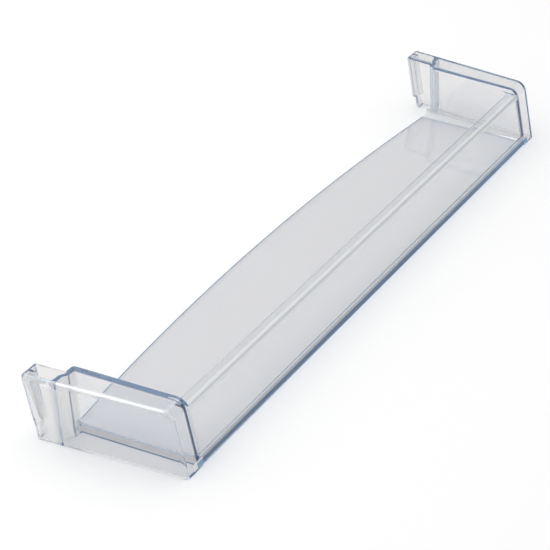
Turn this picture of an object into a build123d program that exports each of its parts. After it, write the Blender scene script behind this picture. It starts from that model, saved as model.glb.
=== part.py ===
from build123d import *
import os
from math import atan2, cos, radians, sin, tan

# Clear moulded fridge door shelf, one piece
# +X runs along the shelf, -Y is the front, +Z is up, and it stands on Z = 0
# While it is drawn, y = 0 is the foot of the front wall
# At the end it moves so that the origin lies under the middle of its box

# Overall sizes
end_spacing = 480.0        # between the outer faces of the two ends, at the foot of the front wall
end_height = 42.3          # top of both ends
front_lean = 12.5          # degrees that the front wall leans back
outer_flare = 6.1          # degrees that the outer plate of each end turns outward towards the back
inner_flare = 3.4          # the same for the inner plate, so each end widens towards the back

# Walls
wall = 2.6                 # ends and front wall
floor_thickness = 2.6
tray_radius = 4.0          # round between the floor, the front wall and the ends

# Floor
floor_depth_end = 82.5     # from the foot of the front wall to the floor's back edge, beside an end
floor_depth_middle = 95.0  # the same in the middle of the bowed back edge
foot_radius = 1.0          # outer round under the front wall

# Front wall and the rim folded back along its top
front_wall_height = 38.2
rim_depth = 8.1            # from the front wall's outer face to the rim's free edge
rim_thickness = 2.6
rim_bend = 2.2             # outer round of the fold
rim_edge_round = 0.8
gusset_radius = 5.0        # web between the rim and each end

# Hollow pocket of each end, open underneath
pocket_width = 16.1        # over both plates of an end, at the foot of the front wall
pocket_back = 82.8         # back face of the pocket's rear wall, at the top
pocket_back_lean = 4.0     # degrees
pocket_corner = 2.5        # outer round of the pocket's rear corner
pocket_inner_round = 1.2
jog_depth = 2.6            # how far the rear wall steps back on its way to the outer plate
jog_start = 13.0           # where that step starts and ends, from the outer face
jog_end = 9.4
jog_round = 3.0            # inner round of both bends of the step
shoulder_radius = 8.0      # large round over the front of each end
outer_round = 3.0          # round along the outer plate's edges

# Ear behind each pocket, open towards the middle
ear_back = 105.3           # back face of the ear, at the top
ear_back_lean = 11.7       # degrees
ear_width = 13.3           # top strip and back lip
ear_top_round = 3.0        # round where the top strip turns down into the lip
ear_corner = 4.0           # inner round between the pocket's rear wall and the outer plate
ear_foot_round = 3.0       # lower back corner of the outer plate
lip_thickness = 2.2
lip_foot_width = 9.7       # the lip's narrow lower part
lip_step_height = 10.0     # height at which the lip narrows
lip_step_round = 1.5

# Guide rib that returns forward from each lip, parallel to the outer plate
rib_inset = 6.5            # from the outer face
rib_thickness = 1.6
rib_reach = 6.2            # from the back face of the ear to the rib's front edge
rib_foot_height = 10.5     # lower end of the rib
rib_foot_round = 1.5

half_span = end_spacing / 2
clear_of_part = 20.0       # how far cutting solids run past the moulding
in_front = -clear_of_part
behind = ear_back + clear_of_part
near_enough = 0.5          # an edge whose middle is this close to a plane is taken to lie on it


def end_x(inset, y):
    """x of a line lying inset from the right end's outer face, at depth y"""
    return half_span - inset / cos(radians(outer_flare)) + y * tan(radians(outer_flare))


def plate_x(inset, y):
    """x of a line lying inset from the inner plate's face towards the tray, at depth y"""
    return half_span - pocket_width + inset / cos(radians(inner_flare)) + y * tan(radians(inner_flare))


def front_y(z, inset=0.0):
    """y of the front wall's face, or of a plane inset from it, at height z"""
    return z * tan(radians(front_lean)) + inset / cos(radians(front_lean))


def back_y(top, lean, z, inset=0.0):
    """y of a face that leans back and passes through top at the height of the ends"""
    return top - (end_height - z) * tan(radians(lean)) - inset / cos(radians(lean))


def nearest(shape, *point):
    return shape.vertices().sort_by_distance(Vector(*point))[0]


def side_prism(points, rounds=()):
    """an outline in y and z, with some corners rounded, carried across the whole shelf"""
    outline = Polygon(*points, align=None)
    for point, radius in rounds:
        outline = fillet(nearest(outline, *point, 0), radius)
    return extrude(Plane.YZ * outline, amount=end_spacing, both=True)


def tall_slab(inner_side, outer_side):
    """a tall slab between two upright planes, each given by its x in front of the shelf and behind it"""
    plan = Polygon(
        (inner_side[0], in_front), (outer_side[0], in_front),
        (outer_side[1], behind), (inner_side[1], behind),
        align=None,
    )
    return Pos(0, 0, -clear_of_part) * extrude(plan, amount=end_height + 2 * clear_of_part)


def end_slab(inset_from, inset_to):
    """a tall slab between two planes parallel to the right end's outer face"""
    inner_side, outer_side = [[end_x(inset, y) for y in (in_front, behind)] for inset in (inset_to, inset_from)]
    return tall_slab(inner_side, outer_side)


def pocket_slab(inset):
    """a tall slab between both plates of the right end, inset from each face"""
    inner_side, outer_side = [[line(inset, y) for y in (in_front, behind)] for line in (plate_x, end_x)]
    return tall_slab(inner_side, outer_side)


def between_plates():
    """a box that reaches into the middle of both inner plates"""
    return Box(2 * plate_x(wall / 2, 0), 2 * behind, 4 * end_height)


def edges_above_table(face):
    return [e for e in face.edges() if e.center().Z > 0.01]


def end_outside():
    """outer form of the right end, pocket and ear together, still solid"""
    top = end_height
    shoulder = ((front_y(top), top), shoulder_radius)
    ear_top = ((ear_back, top), ear_top_round)
    pocket_form = side_prism(
        [(front_y(0), 0), (front_y(top), top), (pocket_back, top),
         (back_y(pocket_back, pocket_back_lean, 0), 0)],
        [shoulder],
    ) & pocket_slab(0)
    rear_corner = [
        e for e in pocket_form.edges()
        if abs(e.center().Y - back_y(pocket_back, pocket_back_lean, top / 2)) < near_enough
        and abs(e.center().X - plate_x(0, e.center().Y)) < near_enough
        and e.center().Z < top - 1
    ]
    pocket_form = fillet(rear_corner, pocket_corner)
    ear_form = side_prism(
        [(front_y(0), 0), (front_y(top), top), (ear_back, top),
         (back_y(ear_back, ear_back_lean, 0), 0)],
        [shoulder, ear_top],
    ) & end_slab(0, ear_width)
    form = pocket_form + ear_form
    outer_face = form.faces().sort_by(Axis.X)[-1]
    form = fillet(edges_above_table(outer_face), outer_round)
    foot_y = back_y(ear_back, ear_back_lean, 0)
    trimmed = side_prism(
        [(-clear_of_part, 0), (-clear_of_part, top + 1), (ear_back + clear_of_part, top + 1),
         (back_y(ear_back, ear_back_lean, top + 1), top + 1), (foot_y, 0)],
        [((foot_y, 0), ear_foot_round)],
    )
    return form & trimmed


def behind_rear_wall(forward, first_round, second_round):
    """the room behind the stepped rear wall of the right pocket, or behind a face that far in front of it"""
    bend = atan2(jog_depth, jog_start - jog_end)
    aside = forward * tan(bend / 2)
    near = pocket_back - forward
    far = near + jog_depth
    inner, outer = pocket_width + clear_of_part, -clear_of_part
    first = (end_x(jog_start - aside, near), near)
    second = (end_x(jog_end - aside, far), far)
    plan = Polygon(
        (end_x(inner, near), near), first, second, (end_x(outer, far), far),
        (end_x(outer, behind), behind), (end_x(inner, behind), behind),
        align=None,
    )
    plan = fillet(nearest(plan, *first, 0), first_round)
    plan = fillet(nearest(plan, *second, 0), second_round)
    lean = radians(pocket_back_lean)
    along = (0, sin(lean), cos(lean))
    return extrude(Pos(0, 0, end_height) * plan, amount=2 * end_height, dir=along, both=True)


def pocket_hollow():
    """space inside the right pocket, open underneath"""
    roof = end_height - wall
    hollow = side_prism(
        [(front_y(-clear_of_part, wall), -clear_of_part), (front_y(roof, wall), roof),
         (ear_back, roof), (ear_back, -clear_of_part)],
        [((front_y(roof, wall), roof), shoulder_radius - wall)],
    ) & pocket_slab(wall)
    hollow = hollow - behind_rear_wall(wall, jog_round + wall, jog_round)
    corners = [
        e for e in hollow.edges()
        if e.length > end_height / 2 and abs(e.tangent_at(0.5).Z) > 0.9
        and min(abs(e.center().X - line(wall, e.center().Y)) for line in (plate_x, end_x)) < near_enough
    ]
    return fillet(corners, pocket_inner_round)


def ear_hollow():
    """space behind the pocket, open underneath and towards the middle of the shelf"""
    roof = end_height - wall
    low = -clear_of_part
    hollow = side_prism(
        [(0, low), (0, roof),
         (back_y(ear_back, ear_back_lean, roof, lip_thickness), roof),
         (back_y(ear_back, ear_back_lean, low, lip_thickness), low)],
    ) & end_slab(wall, pocket_width + clear_of_part)
    hollow = hollow & behind_rear_wall(0, jog_round, jog_round + wall)
    inner_corner = [
        e for e in hollow.edges()
        if e.length > end_height / 2
        and abs(e.center().X - end_x(wall, e.center().Y)) < near_enough
        and e.center().Y < pocket_back + jog_depth
    ]
    return fillet(inner_corner, ear_corner)


def lip_cutout():
    """what is taken off the lip's lower inner side"""
    step = end_slab(lip_foot_width, pocket_width + clear_of_part)
    cut = step & side_prism(
        [(back_y(ear_back, ear_back_lean, 0, lip_thickness) - 1, -clear_of_part),
         (back_y(ear_back, ear_back_lean, 0, lip_thickness) - 1, lip_step_height),
         (ear_back + clear_of_part, lip_step_height),
         (ear_back + clear_of_part, -clear_of_part)],
    )
    inner = [
        e for e in cut.edges()
        if abs(e.center().Z - lip_step_height) < 0.01
        and abs(e.center().X - end_x(lip_foot_width, e.center().Y)) < near_enough
    ]
    return fillet(inner, lip_step_round)


def guide_rib():
    """thin rib that returns forward from the lip, parallel to the outer plate"""
    roof = end_height - wall / 2
    foot = (back_y(ear_back, ear_back_lean, rib_foot_height, rib_reach), rib_foot_height)
    return side_prism(
        [foot, (back_y(ear_back, ear_back_lean, roof, rib_reach), roof),
         (back_y(ear_back, ear_back_lean, roof, lip_thickness / 2), roof),
         (back_y(ear_back, ear_back_lean, rib_foot_height, lip_thickness / 2), rib_foot_height)],
        [(foot, rib_foot_round)],
    ) & end_slab(rib_inset, rib_inset + rib_thickness)


def right_end():
    return end_outside() - pocket_hollow() - ear_hollow() - lip_cutout() + guide_rib()


def tray_blank():
    """floor and front wall before the tray's inside is cut away"""
    inner_x = plate_x(wall / 2, 0)
    back_end_x = plate_x(wall / 2, floor_depth_end)
    start = wall / 2
    outline = make_face(
        Curve() + [
            Line((-inner_x, start), (inner_x, start)),
            Line((inner_x, start), (back_end_x, floor_depth_end)),
            ThreePointArc((back_end_x, floor_depth_end), (0, floor_depth_middle),
                          (-back_end_x, floor_depth_end)),
            Line((-back_end_x, floor_depth_end), (-inner_x, start)),
        ]
    )
    floor = extrude(outline, amount=floor_thickness + tray_radius)
    foot = (front_y(0), 0)
    front = side_prism(
        [foot, (front_y(front_wall_height), front_wall_height),
         (front_y(front_wall_height, wall + tray_radius), front_wall_height),
         (front_y(0, wall + tray_radius), 0)],
        [(foot, foot_radius), ((front_y(front_wall_height), front_wall_height), rim_bend)],
    )
    return floor + (front & between_plates())


def tray_inside():
    """the room over the floor, rounded where it meets floor, front wall and ends"""
    plan = Polygon(
        (-plate_x(0, in_front), in_front), (plate_x(0, in_front), in_front),
        (plate_x(0, behind), behind), (-plate_x(0, behind), behind),
        align=None,
    )
    room = Pos(0, 0, floor_thickness) * extrude(plan, amount=end_height)
    high = 2 * end_height
    room = room & side_prism(
        [(front_y(0, wall), 0), (front_y(high, wall), high), (behind, high), (behind, 0)],
    )
    rounded = [
        e for e in room.edges()
        if (abs(e.center().Z - floor_thickness) < 0.01 and e.center().Y < behind - 1)
        or (e.center().Y < front_y(high, wall) and abs(e.tangent_at(0.5).Z) > 0.9)
    ]
    return fillet(rounded, tray_radius)


def rim():
    """strip folded back along the top of the front wall, with a web at each end"""
    top = front_wall_height
    under = top - rim_thickness
    fold = (front_y(top), top)
    edge_y = front_y(top) + rim_depth
    strip = side_prism(
        [fold, (edge_y, top), (edge_y, under), (front_y(under), under)],
        [(fold, rim_bend), ((edge_y, top), rim_edge_round), ((edge_y, under), rim_edge_round)],
    ) & between_plates()
    corner_x = plate_x(0, edge_y)
    web_plan = Polygon(
        (corner_x + wall / 2, edge_y - gusset_radius / 2),
        (corner_x + wall / 2, edge_y + gusset_radius),
        (corner_x, edge_y + gusset_radius),
        (corner_x - gusset_radius, edge_y),
        (corner_x - gusset_radius, edge_y - gusset_radius / 2),
        align=None,
    ) - Pos(corner_x - gusset_radius, edge_y + gusset_radius) * Circle(gusset_radius)
    web = Pos(0, 0, under) * extrude(web_plan, amount=rim_thickness)
    return strip + web + mirror(web, Plane.YZ)


def door_shelf():
    end = right_end()
    shelf = tray_blank() - tray_inside()
    shelf = shelf + rim() + end + mirror(end, Plane.YZ)
    middle = shelf.bounding_box().center()
    return Pos(0, -middle.Y, 0) * shelf


if __name__ == "__main__":
    os.makedirs("parts", exist_ok=True)
    shelf = door_shelf()
    export_step(shelf, "parts/door_shelf.step")
    box = shelf.bounding_box()
    print("door_shelf", len(shelf.solids()), "solid", round(shelf.volume), "mm3", box.size)
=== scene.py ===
from math import cos, pi, radians, sin

import bmesh
import bpy
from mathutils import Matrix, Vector


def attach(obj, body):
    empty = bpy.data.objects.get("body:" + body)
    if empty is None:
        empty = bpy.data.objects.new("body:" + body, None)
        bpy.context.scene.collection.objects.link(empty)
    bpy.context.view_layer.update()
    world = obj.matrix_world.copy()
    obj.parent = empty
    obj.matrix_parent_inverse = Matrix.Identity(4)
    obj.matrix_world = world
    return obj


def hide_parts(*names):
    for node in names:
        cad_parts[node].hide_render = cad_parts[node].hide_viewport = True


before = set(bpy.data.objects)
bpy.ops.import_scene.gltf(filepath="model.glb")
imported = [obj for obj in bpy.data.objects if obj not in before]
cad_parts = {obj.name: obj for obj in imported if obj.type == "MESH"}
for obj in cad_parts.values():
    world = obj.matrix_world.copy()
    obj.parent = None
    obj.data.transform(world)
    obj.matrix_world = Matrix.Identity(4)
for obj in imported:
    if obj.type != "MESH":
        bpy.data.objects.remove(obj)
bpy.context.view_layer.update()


def linearColour(hexColour):
    # sRGB hex to the linear values that shaders use
    parts = [int(hexColour[i:i + 2], 16) / 255 for i in (1, 3, 5)]
    return [p / 12.92 if p <= 0.04045 else ((p + 0.055) / 1.055) ** 2.4 for p in parts] + [1.0]


def addNode(tree, kind, settings=None, links=None):
    # one node, its own settings by name, and what feeds its sockets
    node = tree.nodes.new(kind)
    for name, value in (settings or {}).items():
        if isinstance(name, str) and hasattr(node, name):
            setattr(node, name, value)
        else:
            node.inputs[name].default_value = value
    for name, (source, output) in (links or {}).items():
        tree.links.new(source.outputs[output], node.inputs[name])
    return node


def emptyMaterial(name):
    material = bpy.data.materials.new(name)
    material.use_nodes = True
    material.node_tree.nodes.clear()
    return material


# Clear polystyrene, moulded against polished steel: glassy faces, and blue edges where light runs far inside
clearPolystyrene = {
    "name": "clearPolystyreneMoulded",
    "paintedShadeTint": "#ece4e1",     # painted shade: a grey, slightly warm veil where the eye first meets the plastic, standing in for the dimmer room seen through it
    "laterTint": "#fefefe",     # clear where it looks on through further walls
    "hazeTint": "#ffffff",      # milky light on rounds and feet that would else be full of dark lines
    "hazeThrough": 0.3,         # share of it that is lit from behind
    "hazeZones": [              # metres: out from the middle, from front to back, up, then how milky
        ((0.0, 0.2240), (-0.0530, -0.0409), (0.0350, 0.0430), 0.65),    # fold of the rim
        ((0.0, 0.2260), (-0.0530, -0.0507), (0.0042, 0.0080), 0.5),     # front wall over its foot
        ((0.2230, 0.2330), (-0.0530, 0.0320), (0.0010, 0.0052), 1.0),   # foot of the inner plates
        ((0.2475, 0.2550), (0.0265, 0.0380), (0.0020, 0.0380), 0.6),    # outer plates at the rear walls
    ],
    "edgeTint": "#9abad6",      # blue milk where the photo shows a blue line along a foot
    "edgeZones": [
        ((0.0, 0.2290), (-0.0530, -0.0490), (-0.0010, 0.0042), 0.35),   # foot of the front wall
        ((0.2230, 0.2330), (-0.0490, 0.0320), (-0.0010, 0.0010), 0.7),  # lowest edge of the inner plates
    ],
    "backEdge": 0.7,            # how strong the blue line along the floor's open edge is
    "backEdgeTint": "#64a3dc",
    "sheen": 0.3,               # white gleam of the ends' outer rounds
    "sheenTint": "#fbfbfa",
    "sheenRoughness": 0.35,
    "depthTint": "#4da3d1",     # the hue that long paths inside the plastic take
    "depthPerMetre": 21.0,
    "ior": 1.59,
    "roughness": 0.02,
    "wavinessMm": 22.0,         # slow flow waves from the moulding
    "wavinessDepthMm": 0.004,
    "shadowTint": "#f1f1f2",    # what one surface lets through to the shadow
}


def hazeZone(tree, place, zone):
    # how milky a point is for lying inside one zone, the same at both ends
    spot = addNode(tree, "ShaderNodeSeparateXYZ", {}, {"Vector": (place, "Object")})
    across = addNode(tree, "ShaderNodeMath", {"operation": "ABSOLUTE"}, {0: (spot, "X")})
    inside = None
    for source, output, (low, high) in zip((across, spot, spot), (0, "Y", "Z"), zone[:3]):
        within = addNode(
            tree, "ShaderNodeMath",
            {"operation": "COMPARE", 1: (low + high) / 2, 2: (high - low) / 2},
            {0: (source, output)},
        )
        inside = within if inside is None else addNode(
            tree, "ShaderNodeMath", {"operation": "MULTIPLY"}, {0: (inside, 0), 1: (within, 0)},
        )
    return addNode(tree, "ShaderNodeMath", {"operation": "MULTIPLY", 1: zone[3]}, {0: (inside, 0)})


def hazeOfZones(tree, place, zones):
    # the most that any zone gives a point
    most = None
    for zone in zones:
        inside = hazeZone(tree, place, zone)
        most = inside if most is None else addNode(
            tree, "ShaderNodeMath", {"operation": "MAXIMUM"}, {0: (most, 0), 1: (inside, 0)},
        )
    return most


def makeClearPolystyrene(look):
    material = emptyMaterial(look["name"])
    tree = material.node_tree
    place = addNode(tree, "ShaderNodeTexCoord")
    rays = addNode(tree, "ShaderNodeLightPath")

    # glassy plastic with slow waves, under a painted shade veil that only camera rays see
    waves = addNode(
        tree, "ShaderNodeTexNoise",
        {"Scale": 1000 / look["wavinessMm"], "Detail": 1.0},
        {"Vector": (place, "Object")},
    )
    bump = addNode(
        tree, "ShaderNodeBump",
        {"Strength": 1.0, "Distance": look["wavinessDepthMm"] / 1000},
        {"Height": (waves, "Fac")},
    )
    # painted shade: camera rays meet the plastic through the grey veil, later rays through the clear tint
    shadeVeil = addNode(
        tree, "ShaderNodeMix",
        {"data_type": "RGBA", 6: linearColour(look["laterTint"]), 7: linearColour(look["paintedShadeTint"])},
        {0: (rays, "Is Camera Ray")},
    )
    plastic = addNode(
        tree, "ShaderNodeBsdfPrincipled",
        {"Transmission Weight": 1.0, "IOR": look["ior"], "Roughness": look["roughness"]},
        {"Base Color": (shadeVeil, 2), "Normal": (bump, "Normal")},
    )

    # gleam of the outer rounds
    gleam = addNode(
        tree, "ShaderNodeBsdfAnisotropic",
        {"Color": linearColour(look["sheenTint"]), "Roughness": look["sheenRoughness"]},
    )
    outerRound = addNode(tree, "ShaderNodeAttribute", {"attribute_name": "outerRound"})
    gleaming = addNode(
        tree, "ShaderNodeMath", {"operation": "MULTIPLY", 1: look["sheen"]},
        {0: (outerRound, "Fac")},
    )
    glazed = addNode(
        tree, "ShaderNodeMixShader", {},
        {"Fac": (gleaming, 0), 1: (plastic, "BSDF"), 2: (gleam, "BSDF")},
    )

    # milky or blue where a zone or a marked face says so, and only seen from the air
    milky = hazeOfZones(tree, place, look["hazeZones"])
    blue = hazeOfZones(tree, place, look["edgeZones"])
    placed = addNode(tree, "ShaderNodeMath", {"operation": "MAXIMUM"}, {0: (milky, 0), 1: (blue, 0)})
    isBlue = addNode(tree, "ShaderNodeMath", {"operation": "GREATER_THAN", 1: 0.0}, {0: (blue, 0)})
    milk = addNode(
        tree, "ShaderNodeMix",
        {"data_type": "RGBA", 6: linearColour(look["hazeTint"]), 7: linearColour(look["edgeTint"])},
        {0: (isBlue, 0)},
    )
    marked = addNode(tree, "ShaderNodeAttribute", {"attribute_name": "softRound"})
    soft = addNode(
        tree, "ShaderNodeMath", {"operation": "MAXIMUM"}, {0: (marked, "Fac"), 1: (placed, 0)},
    )
    side = addNode(tree, "ShaderNodeNewGeometry")
    fromAir = addNode(tree, "ShaderNodeMath", {"operation": "SUBTRACT", 0: 1.0}, {1: (side, "Backfacing")})
    softly = addNode(
        tree, "ShaderNodeMath", {"operation": "MULTIPLY", "use_clamp": True},
        {0: (soft, 0), 1: (fromAir, 0)},
    )
    lit = addNode(tree, "ShaderNodeBsdfDiffuse", {}, {"Color": (milk, 2)})
    litThrough = addNode(tree, "ShaderNodeBsdfTranslucent", {}, {"Color": (milk, 2)})
    hazy = addNode(
        tree, "ShaderNodeMixShader", {"Fac": look["hazeThrough"]},
        {1: (lit, "BSDF"), 2: (litThrough, "BSDF")},
    )
    seen = addNode(
        tree, "ShaderNodeMixShader", {},
        {"Fac": (softly, 0), 1: (glazed, "Shader"), 2: (hazy, "Shader")},
    )

    # blue line of the floor's open edge, from inside too
    backEdge = addNode(tree, "ShaderNodeAttribute", {"attribute_name": "backEdge"})
    lined = addNode(
        tree, "ShaderNodeMath", {"operation": "MULTIPLY", 1: look["backEdge"]}, {0: (backEdge, "Fac")},
    )
    line = addNode(tree, "ShaderNodeBsdfDiffuse", {"Color": linearColour(look["backEdgeTint"])})
    edged = addNode(
        tree, "ShaderNodeMixShader", {}, {"Fac": (lined, 0), 1: (seen, "Shader"), 2: (line, "BSDF")},
    )

    # lamps shine through, and depth colours what runs far inside
    lampsPass = addNode(tree, "ShaderNodeBsdfTransparent", {"Color": linearColour(look["shadowTint"])})
    surface = addNode(
        tree, "ShaderNodeMixShader", {},
        {"Fac": (rays, "Is Shadow Ray"), 1: (edged, "Shader"), 2: (lampsPass, "BSDF")},
    )
    inside = addNode(
        tree, "ShaderNodeVolumeAbsorption",
        {"Color": linearColour(look["depthTint"]), "Density": look["depthPerMetre"]},
    )
    addNode(
        tree, "ShaderNodeOutputMaterial", {},
        {"Surface": (surface, "Shader"), "Volume": (inside, "Volume")},
    )
    return material


# The moulding: the CAD solid as one smooth skin
moulding = {
    "name": "clearDoorShelf",
    "mergeMm": 0.0005,
    "sharpDegrees": 32,
    "edgeMm": 0.35,                      # small round that the mould leaves along every edge
    "edgeSegments": 2,
    "rearWallMm": (227.5, 23.0, 39.5),   # x from, y from, y to: the pockets' rear walls and their rounds
    "rearWallNormal": (0.2, 0.6),        # least to front or back, most up or down
    "rearWallHaze": 0.3,
    "lipMm": (246.0, 39.0),              # x to, z to: the guide rib and the lip's inside, behind the rear wall
    "lipHaze": 0.35,
    "trayRoundMm": (218.0, 2.7, 6.6),    # x from, z from and to: the rounds along the inner plates
    "trayRoundUp": (0.03, 0.99),         # least and most that a face of a round looks up
    "trayRoundHaze": 0.5,
    "outerRoundMm": 236.0,               # x from
    "outerRoundUp": (0.35, 0.97),
    "backEdgeMm": (222.0, 20.0, 2.7),    # x to, y from, z to: the floor's open edge
    "backEdgeBack": 0.6,                 # least that its faces look back
}


def hazeOf(parts, face):
    # how milky the photo shows a face that would else be full of dark lines
    x, y, z = [1000 * part for part in face.calc_center_median()]
    wallX, wallFrom, wallTo = parts["rearWallMm"]
    leastY, mostZ = parts["rearWallNormal"]
    lipX, lipZ = parts["lipMm"]
    roundX, low, high = parts["trayRoundMm"]
    leastUp, mostUp = parts["trayRoundUp"]
    isUpright = abs(face.normal.z) < mostZ and abs(face.normal.y) > leastY
    if abs(x) > wallX and wallFrom < y < wallTo and isUpright:
        return parts["rearWallHaze"]
    if wallX < abs(x) < lipX and y > wallTo and z < lipZ:
        return parts["lipHaze"]
    if abs(x) > roundX and low < z < high and leastUp < face.normal.z < mostUp:
        return parts["trayRoundHaze"]
    return 0.0


def isOuterRound(parts, face):
    x = 1000 * face.calc_center_median().x
    leastUp, mostUp = parts["outerRoundUp"]
    return abs(x) > parts["outerRoundMm"] and leastUp < face.normal.z < mostUp and face.normal.x * x > 0


def isBackEdge(parts, face):
    x, y, z = [1000 * part for part in face.calc_center_median()]
    toX, fromY, toZ = parts["backEdgeMm"]
    return abs(x) < toX and y > fromY and z < toZ and face.normal.y > parts["backEdgeBack"]


def makeMoulding(parts, node, material):
    skin = bmesh.new()
    skin.from_mesh(node.data)
    bmesh.ops.remove_doubles(skin, verts=skin.verts, dist=parts["mergeMm"] / 1000)
    soft = skin.faces.layers.float.new("softRound")
    outer = skin.faces.layers.float.new("outerRound")
    back = skin.faces.layers.float.new("backEdge")
    skin.normal_update()
    for face in skin.faces:
        face.smooth = True
        face[soft] = hazeOf(parts, face)
        face[outer] = 1.0 if isOuterRound(parts, face) else 0.0
        face[back] = 1.0 if isBackEdge(parts, face) else 0.0
    mesh = bpy.data.meshes.new(parts["name"])
    skin.to_mesh(mesh)
    skin.free()
    if "custom_normal" in mesh.attributes:
        mesh.attributes.remove(mesh.attributes["custom_normal"])   # merging has moved its corners
    mesh.set_sharp_from_angle(angle=radians(parts["sharpDegrees"]))
    mesh.materials.clear()
    mesh.materials.append(material)
    shelf = bpy.data.objects.new(parts["name"], mesh)
    bpy.context.scene.collection.objects.link(shelf)
    edges = shelf.modifiers.new("brokenEdges", "BEVEL")
    edges.width = parts["edgeMm"] / 1000
    edges.segments = parts["edgeSegments"]
    edges.limit_method = "ANGLE"
    edges.angle_limit = radians(parts["sharpDegrees"])
    edges.use_clamp_overlap = True
    flatFaces = shelf.modifiers.new("flatFaces", "WEIGHTED_NORMAL")
    flatFaces.keep_sharp = True
    flatFaces.weight = 100               # large faces stay flat beside their rounds
    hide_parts("door_shelf")
    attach(shelf, "root")
    return shelf


plastic = makeClearPolystyrene(clearPolystyrene)
shelf = makeMoulding(moulding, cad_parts["door_shelf"], plastic)
print("moulding dressed,", len(shelf.data.polygons), "faces")


# White laminate table, matt, and wide enough to be the whole background
table = {
    "name": "studioTable",
    "size": 12.0,
    "gap": 0.0004,             # air left under the moulding, so that its foot stays clear plastic
    "colour": "#f3f3f3",
    "lift": 0.10,              # what the table shows over its lit colour, so that it reads as white
    "liftColour": "#ffffff",
}


def makeTable(look):
    top = bmesh.new()
    bmesh.ops.create_grid(top, x_segments=1, y_segments=1, size=look["size"] / 2)
    mesh = bpy.data.meshes.new(look["name"])
    top.to_mesh(mesh)
    top.free()
    material = emptyMaterial("mattWhiteTable")
    tree = material.node_tree
    matt = addNode(tree, "ShaderNodeBsdfDiffuse", {"Color": linearColour(look["colour"])})
    rays = addNode(tree, "ShaderNodeLightPath")
    throughPlastic = addNode(
        tree, "ShaderNodeMath", {"operation": "MAXIMUM"},
        {0: (rays, "Is Glossy Ray"), 1: (rays, "Is Transmission Ray")},
    )
    seen = addNode(
        tree, "ShaderNodeMath", {"operation": "MAXIMUM"},
        {0: (throughPlastic, 0), 1: (rays, "Is Camera Ray")},
    )
    lift = addNode(
        tree, "ShaderNodeMath", {"operation": "MULTIPLY", 1: look["lift"]}, {0: (seen, 0)},
    )
    glow = addNode(
        tree, "ShaderNodeEmission", {"Color": linearColour(look["liftColour"])}, {"Strength": (lift, 0)},
    )
    both = addNode(tree, "ShaderNodeAddShader", {}, {0: (matt, "BSDF"), 1: (glow, "Emission")})
    addNode(tree, "ShaderNodeOutputMaterial", {}, {"Surface": (both, "Shader")})
    mesh.materials.append(material)
    floor = bpy.data.objects.new(look["name"], mesh)
    floor.location.z = -look["gap"]
    bpy.context.scene.collection.objects.link(floor)


# Soft light of a white room, with one large softbox above and a smaller one beside the near end
lights = {
    "roomColour": "#ffffff",
    "roomStrength": 0.7,
    "softboxes": {             # size, place and power
        "overheadSoftbox": ((1.8, 1.3), (0.25, 0.35, 1.55), 7.2),
        "sideSoftbox": ((1.3, 0.7), (-0.75, 0.65, 1.05), 4.0),   # it gleams along the near outer round
    },
}


def makeRoom(look):
    world = bpy.data.worlds.new("softWhiteRoom")
    bpy.context.scene.world = world
    world.use_nodes = True
    tree = world.node_tree
    tree.nodes.clear()
    room = addNode(
        tree, "ShaderNodeBackground",
        {"Color": linearColour(look["roomColour"]), "Strength": look["roomStrength"]},
    )
    addNode(tree, "ShaderNodeOutputWorld", {}, {"Surface": (room, "Background")})


def makeSoftbox(name, size, place, power):
    lamp = bpy.data.lights.new(name, "AREA")
    lamp.shape = "RECTANGLE"
    lamp.size, lamp.size_y = size
    lamp.energy = power
    box = bpy.data.objects.new(name, lamp)
    box.location = place
    box.rotation_euler = (Vector((0, 0, 0)) - Vector(place)).to_track_quat("-Z", "Y").to_euler()
    bpy.context.scene.collection.objects.link(box)


makeTable(table)
makeRoom(lights)
for name, (size, place, power) in lights["softboxes"].items():
    makeSoftbox(name, size, place, power)
print("studio lit")


# Camera at the photograph's angle, worked out from the shelf's edges
photoView = {
    "aim": (-0.0551, -0.0013, 0.0200),   # a point in the middle of the picture
    "distance": 1.1974,
    "turn": -60.04,                      # degrees from looking along +Y
    "down": 31.44,
    "lens": 123.89,
    "sensor": 36.0,
    "bounces": 64,                       # light goes back and forth inside the clear walls
    "shadowSurfaces": 24,                # clear surfaces that a lamp's light may cross
}


def makeCamera(view):
    turn, down = radians(view["turn"]), radians(view["down"])
    line = Vector((-sin(turn) * cos(down), cos(turn) * cos(down), -sin(down)))
    lens = bpy.data.cameras.new("photoCamera")
    lens.lens = view["lens"]
    lens.sensor_width = view["sensor"]
    camera = bpy.data.objects.new("photoCamera", lens)
    camera.location = Vector(view["aim"]) - line * view["distance"]
    camera.rotation_euler = (pi / 2 - down, 0, turn)
    bpy.context.scene.collection.objects.link(camera)
    bpy.context.scene.camera = camera


makeCamera(photoView)
scene = bpy.context.scene
scene.view_settings.view_transform = "Standard"
scene.cycles.max_bounces = photoView["bounces"]
scene.cycles.glossy_bounces = photoView["bounces"]
scene.cycles.transmission_bounces = photoView["bounces"]
scene.cycles.transparent_max_bounces = photoView["shadowSurfaces"]
print("camera set")
